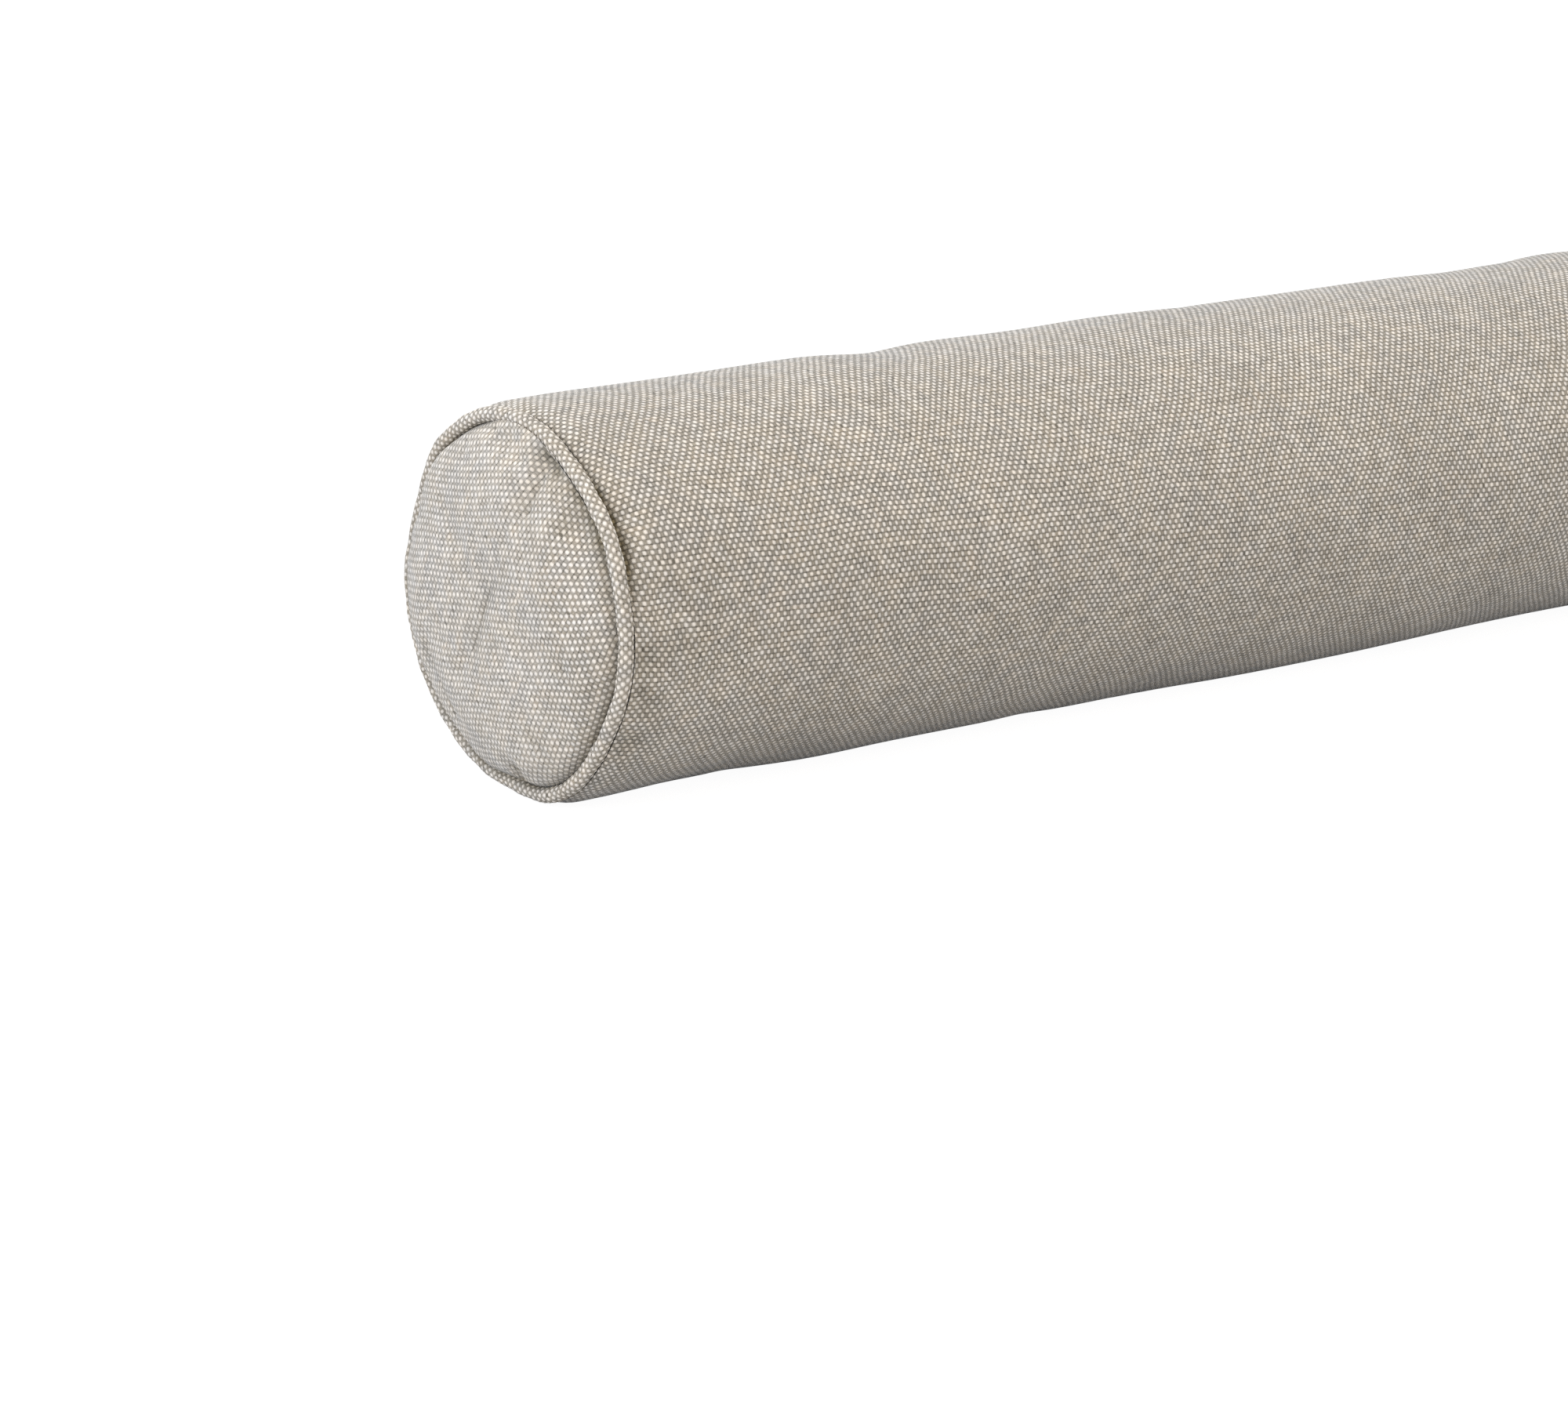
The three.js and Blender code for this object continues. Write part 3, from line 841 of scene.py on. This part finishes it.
class Graph:
    """Adds nodes to a node tree and hands back their outputs as signals."""

    def __init__(self, tree):
        self.tree = tree
        self.count = 0

    def node(self, kind, **settings):
        node = self.tree.nodes.new(kind)
        for name, value in settings.items():
            setattr(node, name, value)
        node.location = (self.count % 12 * 190, -(self.count // 12) * 260)
        self.count += 1
        return node

    def feed(self, socket, value):
        """Link a signal or a node's output to the socket, or set its value."""
        if isinstance(value, Signal):
            value = value.output
        if isinstance(value, bpy.types.NodeSocket):
            self.tree.links.new(value, socket)
        else:
            socket.default_value = value

    def feed_all(self, node, values):
        for name, value in values.items():
            self.feed(node.inputs[name], value)

    def signal(self, kind, name, **settings):
        return Signal(self, self.node(kind, **settings).outputs[name])

    def math(self, operation, *values, clamp=False):
        node = self.node("ShaderNodeMath", operation=operation, use_clamp=clamp)
        for socket, value in zip(node.inputs, values):
            self.feed(socket, value)
        return Signal(self, node.outputs[0])

    def round(self, value):
        return self.math("ROUND", value)

    def size(self, value):
        return self.math("ABSOLUTE", value)

    def larger(self, one, other):
        return self.math("MAXIMUM", one, other)

    def smooth(self, value, low, high, to_low=0.0, to_high=1.0):
        """A smooth step from to_low to to_high while the value goes from low to high."""
        node = self.node("ShaderNodeMapRange", interpolation_type="SMOOTHSTEP")
        names = ("Value", "From Min", "From Max", "To Min", "To Max")
        self.feed_all(node, dict(zip(names, (value, low, high, to_low, to_high))))
        return Signal(self, node.outputs["Result"])

    def vector(self, x, y, z=0.0):
        node = self.node("ShaderNodeCombineXYZ")
        self.feed_all(node, {"X": x, "Y": y, "Z": z})
        return Signal(self, node.outputs[0])

    def split(self, vector):
        node = self.node("ShaderNodeSeparateXYZ")
        self.feed(node.inputs[0], vector)
        return [Signal(self, output) for output in node.outputs]

    def mix(self, factor, a, b, blend="MIX"):
        node = self.node("ShaderNodeMix", data_type="RGBA", blend_type=blend)
        self.feed(node.inputs["Factor"], factor)
        self.feed(node.inputs[6], a)
        self.feed(node.inputs[7], b)
        return Signal(self, node.outputs[2])

    def tint(self, color, gain):
        """The colour multiplied by a grey gain."""
        node = self.node("ShaderNodeVectorMath", operation="SCALE")
        self.feed(node.inputs[0], color)
        self.feed(node.inputs["Scale"], gain)
        return Signal(self, node.outputs[0])

    def noise(self, place, scale, detail=2.0):
        node = self.node("ShaderNodeTexNoise", noise_dimensions="2D")
        self.feed_all(node, {"Vector": place, "Scale": scale, "Detail": detail})
        return Signal(self, node.outputs["Fac"])

    def dice(self, cell):
        """Random value and three more random numbers, the same all over a cell."""
        node = self.node("ShaderNodeTexWhiteNoise", noise_dimensions="3D")
        self.feed(node.inputs["Vector"], cell)
        return Signal(self, node.outputs["Value"]), self.split(node.outputs["Color"])


def swing(value, amount):
    """A value from 0 to 1, as a change of at most half the amount to either side."""
    return (value - 0.5) * amount


def nearest_crossing(graph, across, along):
    """The crossing whose columns and rows add up to an even number nearest to a place counted in yarns."""
    p = graph.round((across + along) * 0.5)
    q = graph.round((across - along) * 0.5)
    return graph.vector(p, q, 3.7), across - (p + q), along - (p - q)


def rounded_square(graph, off_across, off_along, width, length):
    """0 at the middle of a crossing and 1 at its rim, which is a square with well rounded corners."""
    across = graph.math("POWER", graph.size(off_across) / width, ROUNDING)
    along = graph.math("POWER", graph.size(off_along) / length, ROUNDING)
    return across + along


def weave_group():
    """Plain weave of light and dark yarns, with slubs, specks, slow drifts of tone and painted shade."""
    name = "Woven cloth"
    if name in bpy.data.node_groups:
        return bpy.data.node_groups[name]
    tree = bpy.data.node_groups.new(name, "ShaderNodeTree")
    for label, kind, default in (
        ("Place", "NodeSocketVector", None),
        ("Yarn Across", "NodeSocketFloat", 0.0015),
        ("Yarn Along", "NodeSocketFloat", 0.002),
        ("Light Yarn", "NodeSocketColor", (0.8, 0.75, 0.67, 1)),
        ("Dark Yarn", "NodeSocketColor", (0.35, 0.3, 0.25, 1)),
        ("Gap", "NodeSocketColor", (0.1, 0.09, 0.07, 1)),
        ("Slub", "NodeSocketColor", (0.5, 0.37, 0.24, 1)),
        ("Relief", "NodeSocketFloat", 0.0003),
        ("Dot Width", "NodeSocketFloat", 0.60),
        ("Dot Length", "NodeSocketFloat", 0.54),
        ("Row Lines", "NodeSocketFloat", 1.0),
        ("Crevice", "NodeSocketFloat", 0.0),
        ("Softness", "NodeSocketFloat", 0.0),
    ):
        socket = tree.interface.new_socket(name=label, in_out="INPUT", socket_type=kind)
        if default is not None:
            socket.default_value = default
    for label, kind in (
        ("Color", "NodeSocketColor"), ("Height", "NodeSocketFloat"), ("Roughness", "NodeSocketFloat"),
    ):
        tree.interface.new_socket(name=label, in_out="OUTPUT", socket_type=kind)

    graph = Graph(tree)
    given = {output.name: Signal(graph, output) for output in graph.node("NodeGroupInput").outputs}
    place = graph.split(given["Place"])
    across = place[0] / given["Yarn Across"]
    along = place[1] / given["Yarn Along"]
    column = graph.round(across)
    row = graph.round(along)

    # The light crossing, a little larger, smaller or more slanted here and there
    cell, off_across, off_along = nearest_crossing(graph, across, along)
    chance, dice = graph.dice(cell)
    off_across = off_along * swing(dice[2], 0.16) + off_across
    width = given["Dot Width"] * (swing(dice[0], 0.30) + 1.0)
    length = given["Dot Length"] * (swing(dice[1], 0.24) + 1.0)
    rim = rounded_square(graph, off_across, off_along, width, length)
    dot = graph.smooth(graph.math("POWER", rim, 1 / ROUNDING), 0.28, 1.26, 1.0, 0.0)
    light_hump = graph.math("SQRT", graph.math("SUBTRACT", 1.0, rim * 0.8, clamp=True))

    # The dark crossing beside it
    dark_cell, off_across, off_along = nearest_crossing(graph, across + 1.0, along)
    dark_rim = rounded_square(graph, off_across, off_along, DARK_WIDTH, DARK_LENGTH)
    dark_hump = graph.math("SQRT", graph.math("SUBTRACT", 1.0, dark_rim, clamp=True))
    dark_chance, _ = graph.dice(dark_cell)

    # Painted shade: dark outlines round the light crossings, and dark holes at some of the corners
    corner = graph.vector(graph.math("FLOOR", across), graph.math("FLOOR", along), 9.1)
    corner_chance, _ = graph.dice(corner)
    sines = graph.math("SINE", across * math.pi) * graph.math("SINE", along * math.pi)
    hole = graph.smooth(graph.size(sines), 0.55, 1.0) * graph.math("POWER", corner_chance, 1.6)
    outline = graph.smooth(rim, 0.9, 1.5) * graph.smooth(rim, 1.6, 3.2, 0.38, 0.0)

    # Painted shade: thin dark lines where one row of yarn meets the next, fainter between columns
    row_line = graph.smooth(graph.size(along - row), 0.34, 0.50) * given["Row Lines"]
    row_line = row_line * (corner_chance * 0.5 + 0.38)
    column_line = graph.smooth(graph.size(across - column), 0.38, 0.50) * 0.22
    gap = graph.larger(graph.larger(hole * 0.8, outline), graph.larger(row_line, column_line))

    # Tone: fibres within a yarn, each crossing, whole yarns, and slow drifts over the cloth
    fibres = graph.noise(given["Place"], 2600.0, 1.0)
    streak = graph.noise(graph.vector(place[0] * 24.0, row * 0.73), 1.0, 1.0)
    rib = graph.noise(graph.vector(column * 0.73, place[1] * 24.0), 1.0, 1.0)
    drift = graph.noise(given["Place"], 22.0, 3.0)
    mottle = graph.noise(graph.vector(place[1], place[0], 2.0), 150.0)
    tone = swing(fibres, 0.22) + swing(drift, 0.24) + swing(mottle, 0.30)
    # Painted shading: each crossing is coloured lighter on its crown and darker towards its rim
    light_tone = tone + swing(rib, 0.12) + swing(chance, 0.16) + (light_hump * 0.26 + 0.84)
    dark_tone = tone + swing(streak, 0.30) + swing(dark_chance, 0.24) + (dark_hump * 0.22 + 0.90)

    # The yarns' colours, which draw together by the given softness, partly painted light where a cloth
    # faces the light more squarely. In places the dark one is cooler.
    soft_light = graph.mix(given["Softness"] * 0.4, given["Light Yarn"], given["Dark Yarn"])
    soft_dark = graph.mix(given["Softness"], given["Dark Yarn"], given["Light Yarn"])
    light_color = graph.tint(soft_light, light_tone)
    dark_color = graph.tint(soft_dark, dark_tone)
    cool = graph.mix(1.0, dark_color, (0.94, 0.96, 1.0, 1), "MULTIPLY")
    warmth = graph.noise(graph.vector(place[1], place[0], 5.0), 38.0)
    dark_color = graph.mix(graph.smooth(warmth, 0.42, 0.66), dark_color, cool)

    # Tan slubs run a little way along single dark yarns, and dark specks sit in single crossings
    patch = graph.smooth(graph.noise(given["Place"], 55.0), 0.56, 0.76)
    slub_run = graph.smooth(streak, 0.58, 0.70) * graph.smooth(dice[0], 0.35, 0.8)
    slub = graph.larger(slub_run, patch * graph.smooth(chance, 0.55, 0.9))
    dark_color = graph.mix(slub * 0.36, dark_color, given["Slub"])
    light_color = graph.mix(slub * 0.07, light_color, given["Slub"])
    speck = graph.smooth(dark_chance, 0.990, 0.994) * graph.smooth(dark_rim, 0.10, 0.60, 0.7, 0.0)
    color = graph.mix(dot, dark_color, light_color)
    # Painted shade between the yarns, then dark specks in the same colour
    color = graph.mix(gap, color, given["Gap"])
    color = graph.mix(speck, color, given["Gap"])

    # Warmer and cooler patches, a few yarns wide
    hue = graph.noise(graph.vector(place[0], place[1], 7.0), 150.0)
    patches = graph.mix(graph.smooth(hue, 0.34, 0.66), (1.01, 1.0, 0.98, 1), (0.985, 1.0, 1.02, 1))
    color = graph.mix(1.0, color, patches, "MULTIPLY")

    # Painted shade: the colour is darkened towards olive in crevices, creases and dents, as little light
    # reaches there.
    deep = graph.math("MULTIPLY", given["Crevice"], mottle * 1.1 + 0.45, clamp=True)
    color = graph.mix(deep, color, (0.29, 0.255, 0.165, 1), "MULTIPLY")

    height = graph.larger(light_hump, dark_hump * 0.62) + swing(fibres, 0.16)
    result = graph.node("NodeGroupOutput")
    graph.feed_all(result, {
        "Color": color, "Height": height * given["Relief"], "Roughness": fibres * 0.12 + 0.82,
    })
    return tree


# A cloth as one piece wears it. across and along are the widths of its yarns, dot_width and dot_length the
# half sizes of a light dot in yarns, and lines how dark the painted shade in the gaps between its rows is.
# softness is how far the two yarns' colours draw together, pull how much further where it is pulled tight,
# and sheen comes from its loose fibres.
Cloth = namedtuple("Cloth", "name across along relief dot_width dot_length lines softness pull sheen")


def cloth_material(wear):
    """Woven cloth with soft fibres standing off it."""
    name = wear.name
    if name in bpy.data.materials:
        return bpy.data.materials[name]
    cloth = bpy.context.scene.bolster_cloth
    material = bpy.data.materials.new(name)
    material.use_nodes = True
    material.node_tree.nodes.clear()
    graph = Graph(material.node_tree)
    pull = graph.signal("ShaderNodeAttribute", "Fac", attribute_name="Pull")
    weave = graph.node("ShaderNodeGroup", node_tree=weave_group())
    graph.feed_all(weave, {
        "Place": graph.signal("ShaderNodeUVMap", "UV", uv_map="Weave"),
        "Yarn Across": wear.across,
        "Yarn Along": wear.along,
        "Light Yarn": (*cloth.light_yarn, 1),
        "Dark Yarn": (*cloth.dark_yarn, 1),
        "Gap": (*cloth.gap, 1),
        "Slub": (*cloth.slub, 1),
        "Relief": wear.relief,
        "Dot Width": wear.dot_width,
        "Dot Length": wear.dot_length,
        "Row Lines": wear.lines,
        # Painted shade of the crevices, creases and dents, stored on the mesh's points
        "Crevice": graph.signal("ShaderNodeAttribute", "Fac", attribute_name="Crevice"),
        "Softness": pull * wear.pull + wear.softness,
    })
    bump = graph.node("ShaderNodeBump")
    graph.feed_all(bump, {"Distance": 1.0, "Height": weave.outputs["Height"]})
    shader = graph.node("ShaderNodeBsdfPrincipled")
    graph.feed_all(shader, {
        "Base Color": weave.outputs["Color"],
        "Roughness": weave.outputs["Roughness"],
        "Normal": bump.outputs["Normal"],
        "Specular IOR Level": 0.25,
        "Sheen Weight": wear.sheen,
        "Sheen Roughness": 0.40,
        "Sheen Tint": (0.88, 0.93, 1.0, 1),
    })
    graph.feed_all(graph.node("ShaderNodeOutputMaterial"), {"Surface": shader.outputs["BSDF"]})
    return material


class BOLSTER_OT_stage(bpy.types.Operator):
    """Make the camera, the pale floor and the soft light"""

    bl_idname = "bolster.stage"
    bl_label = "Camera, Floor and Light"

    def execute(self, context):
        stage = context.scene.bolster_stage
        self.make_camera(context, stage)
        self.make_floor(context, stage)
        self.make_light(context, stage)
        context.scene.view_settings.view_transform = "Standard"
        # The denoiser takes the weave for noise.
        context.scene.cycles.use_denoising = False
        return {"FINISHED"}

    def make_camera(self, context, stage):
        camera = bpy.data.objects.new("camera", bpy.data.cameras.new("camera"))
        context.scene.collection.objects.link(camera)
        turn = Matrix((CAMERA_RIGHT, CAMERA_UP, CAMERA_RIGHT.cross(CAMERA_UP))).transposed()
        camera.matrix_world = Matrix.Translation(CAMERA_PLACE) @ turn.to_4x4()
        camera.data.sensor_width = 36
        camera.data.lens = stage.focal_length
        camera.data.clip_start = 0.05
        camera.data.clip_end = 200
        context.scene.camera = camera

    def make_floor(self, context, stage):
        mesh = bpy.data.meshes.new("floor")
        corners = [(-1, -1), (1, -1), (1, 1), (-1, 1)]
        mesh.from_pydata([(FLOOR_REACH * x, FLOOR_REACH * y, 0) for x, y in corners], [], [(0, 1, 2, 3)])
        floor = bpy.data.objects.new("floor", mesh)
        context.scene.collection.objects.link(floor)
        material = bpy.data.materials.new("Pale floor")
        material.use_nodes = True
        material.node_tree.nodes.clear()
        graph = Graph(material.node_tree)
        sheet = graph.node("ShaderNodeBsdfDiffuse")
        seen = graph.signal("ShaderNodeLightPath", "Is Camera Ray")
        shown = [value * stage.floor_shade for value in stage.floor]
        graph.feed(sheet.inputs["Color"], graph.mix(seen, (*stage.floor, 1), (*shown, 1)))
        glow = graph.node("ShaderNodeEmission")
        graph.feed(glow.inputs["Strength"], seen * stage.floor_glow)
        both = graph.node("ShaderNodeAddShader")
        graph.feed(both.inputs[0], sheet.outputs[0])
        graph.feed(both.inputs[1], glow.outputs[0])
        output = graph.node("ShaderNodeOutputMaterial")
        graph.feed(output.inputs["Surface"], both.outputs[0])
        mesh.materials.append(material)

    def make_light(self, context, stage):
        world = bpy.data.worlds.new("Even sky")
        world.use_nodes = True
        world.node_tree.nodes.clear()
        graph = Graph(world.node_tree)
        seen = graph.signal("ShaderNodeLightPath", "Is Camera Ray")
        background = graph.node("ShaderNodeBackground")
        sky = [stage.sky * share for share in SKY_TINT]
        graph.feed(background.inputs["Color"], graph.mix(seen, (*sky, 1), (1, 1, 1, 1)))
        output = graph.node("ShaderNodeOutputWorld")
        graph.feed(output.inputs["Surface"], background.outputs[0])
        context.scene.world = world
        for light in SOFT_LIGHTS:
            self.soft_light(context, light, getattr(stage, light.name + "_power"))

    def soft_light(self, context, light, power):
        data = bpy.data.lights.new(light.name + "_light", "AREA")
        data.shape = "SQUARE"
        data.size = LIGHT_SIZE
        data.energy = power
        data.color = light.color
        lamp = bpy.data.objects.new(data.name, data)
        context.scene.collection.objects.link(lamp)
        lamp.location = light.place
        lamp.rotation_euler = (LIGHT_AIM - lamp.location).to_track_quat("-Z", "Y").to_euler()


class BOLSTER_OT_tube(bpy.types.Operator):
    """Make the long panel that is sewn into a tube and filled"""

    bl_idname = "bolster.tube"
    bl_label = "Tube Panel"

    def execute(self, context):
        cloth = context.scene.bolster_cloth
        wear = Cloth(
            "Tube cloth", cloth.tube_yarn_along, cloth.tube_yarn_around, cloth.relief,
            dot_width=0.61, dot_length=0.56, lines=1, softness=0, pull=0, sheen=0.4,
        )
        material = cloth_material(wear)
        tube = piece_object(tube_panel_mesh(), "tube_panel", material)
        return {"FINISHED"}


class BOLSTER_OT_end_panels(bpy.types.Operator):
    """Make the round, crowned panel in each end"""

    bl_idname = "bolster.end_panels"
    bl_label = "End Panels"

    def execute(self, context):
        cloth = context.scene.bolster_cloth
        # Its softness paints the weave paler than the tube's, as where light falls squarely and fills the
        # gaps: painted light on the same cloth
        wear = Cloth(
            "End cloth", cloth.panel_yarn_across, cloth.panel_yarn_along, cloth.relief,
            dot_width=0.62, dot_length=0.55, lines=0.85, softness=0.09, pull=0.21, sheen=0.4,
        )
        material = cloth_material(wear)
        for end in (NEAR, FAR):
            mesh = end_panel_mesh(end)
            panel = piece_object(mesh, end.name + "_end_panel", material)
        return {"FINISHED"}


class BOLSTER_OT_pipings(bpy.types.Operator):
    """Make the covered cord in each end seam"""

    bl_idname = "bolster.pipings"
    bl_label = "Pipings"

    def execute(self, context):
        cloth = context.scene.bolster_cloth
        wear = Cloth(
            "Piping cloth", cloth.piping_yarn_along, cloth.piping_yarn_round, cloth.relief / 3,
            dot_width=0.62, dot_length=0.60, lines=0.5, softness=0.06, pull=0, sheen=0.1,
        )
        material = cloth_material(wear)
        for skin in CORD_SKINS:
            mesh = piping_mesh(skin, cloth)
            piece_object(mesh, skin.end.name + "_piping", material)
        return {"FINISHED"}


class BOLSTER_PT_maker(bpy.types.Panel):
    """Sizes, colours and steps of the bolster"""

    bl_label = "Piped Bolster"
    bl_idname = "BOLSTER_PT_maker"
    bl_space_type = "VIEW_3D"
    bl_region_type = "UI"
    bl_category = "Bolster"

    def draw(self, context):
        layout = self.layout
        for group in (context.scene.bolster_cloth, context.scene.bolster_stage):
            box = layout.box()
            for name in group.__annotations__:
                box.prop(group, name)
        for operator in (BOLSTER_OT_stage, BOLSTER_OT_tube, BOLSTER_OT_end_panels, BOLSTER_OT_pipings):
            layout.operator(operator.bl_idname)


CLASSES = (
    BolsterCloth,
    BolsterStage,
    BOLSTER_OT_stage,
    BOLSTER_OT_tube,
    BOLSTER_OT_end_panels,
    BOLSTER_OT_pipings,
    BOLSTER_PT_maker,
)


def register():
    for cls in CLASSES:
        bpy.utils.register_class(cls)
    bpy.types.Scene.bolster_cloth = bpy.props.PointerProperty(type=BolsterCloth)
    bpy.types.Scene.bolster_stage = bpy.props.PointerProperty(type=BolsterStage)


def unregister():
    del bpy.types.Scene.bolster_cloth
    del bpy.types.Scene.bolster_stage
    for cls in reversed(CLASSES):
        bpy.utils.unregister_class(cls)


def main():
    register()
    bpy.ops.bolster.stage()
    bpy.ops.bolster.tube()
    bpy.ops.bolster.end_panels()
    bpy.ops.bolster.pipings()


if __name__ == "__main__":
    main()
